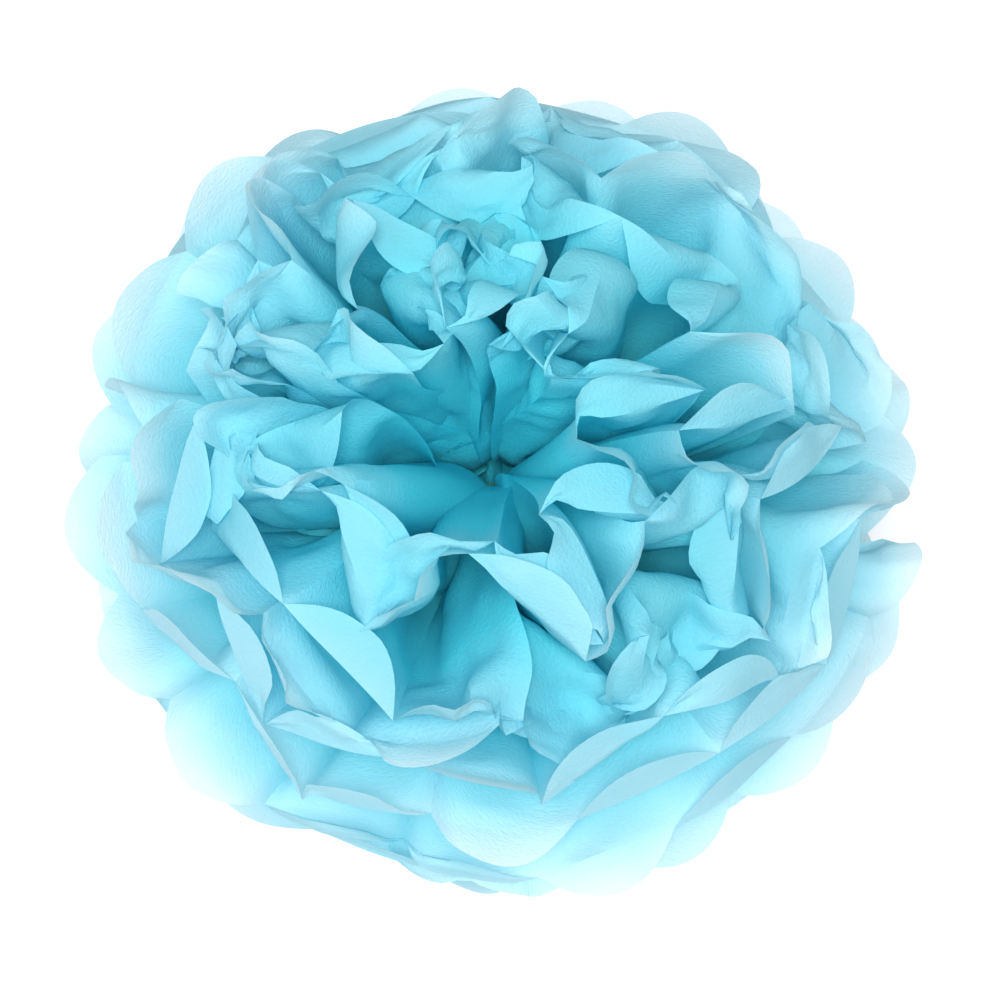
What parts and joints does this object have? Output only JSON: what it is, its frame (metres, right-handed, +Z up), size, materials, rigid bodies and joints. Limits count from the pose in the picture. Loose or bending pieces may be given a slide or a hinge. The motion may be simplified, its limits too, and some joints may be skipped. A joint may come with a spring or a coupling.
{
  "type": "tissue paper pom pom",
  "caption": "Ball of scalloped tissue paper petals, made from accordion-folded sheets tied round the waist with wire and fluffed out up and down.",
  "frame": {"origin": "on the table, under the middle of the ball, which stands on the tips of its bottom sheet", "axes": "+Z up along the pom pom's axis, through the heart of the top petals; +Y along the tie wire's twisted tail, in the seam between the two fans of each sheet; +X out through the middle of one fan"},
  "size_m": [0.2388, 0.2399, 0.2307],
  "materials": {
    "tissue_paper": "thin, matt, slightly crinkled and translucent",
    "wire_wrap": "satin"
  },
  "bodies": {
    "root": {"tissue_sheet_01": "tissue_paper", "tissue_sheet_02": "tissue_paper", "tissue_sheet_03": "tissue_paper", "tissue_sheet_04": "tissue_paper", "tissue_sheet_05": "tissue_paper", "tissue_sheet_06": "tissue_paper", "tissue_sheet_07": "tissue_paper", "tissue_sheet_08": "tissue_paper", "tissue_sheet_09": "tissue_paper", "tissue_sheet_10": "tissue_paper", "tissue_sheet_11": "tissue_paper", "tissue_sheet_12": "tissue_paper", "tissue_sheet_13": "tissue_paper", "tissue_sheet_14": "tissue_paper", "tissue_sheet_15": "tissue_paper", "tissue_sheet_16": "tissue_paper", "tie_wire": "wire_wrap"}
  },
  "joints": []
}
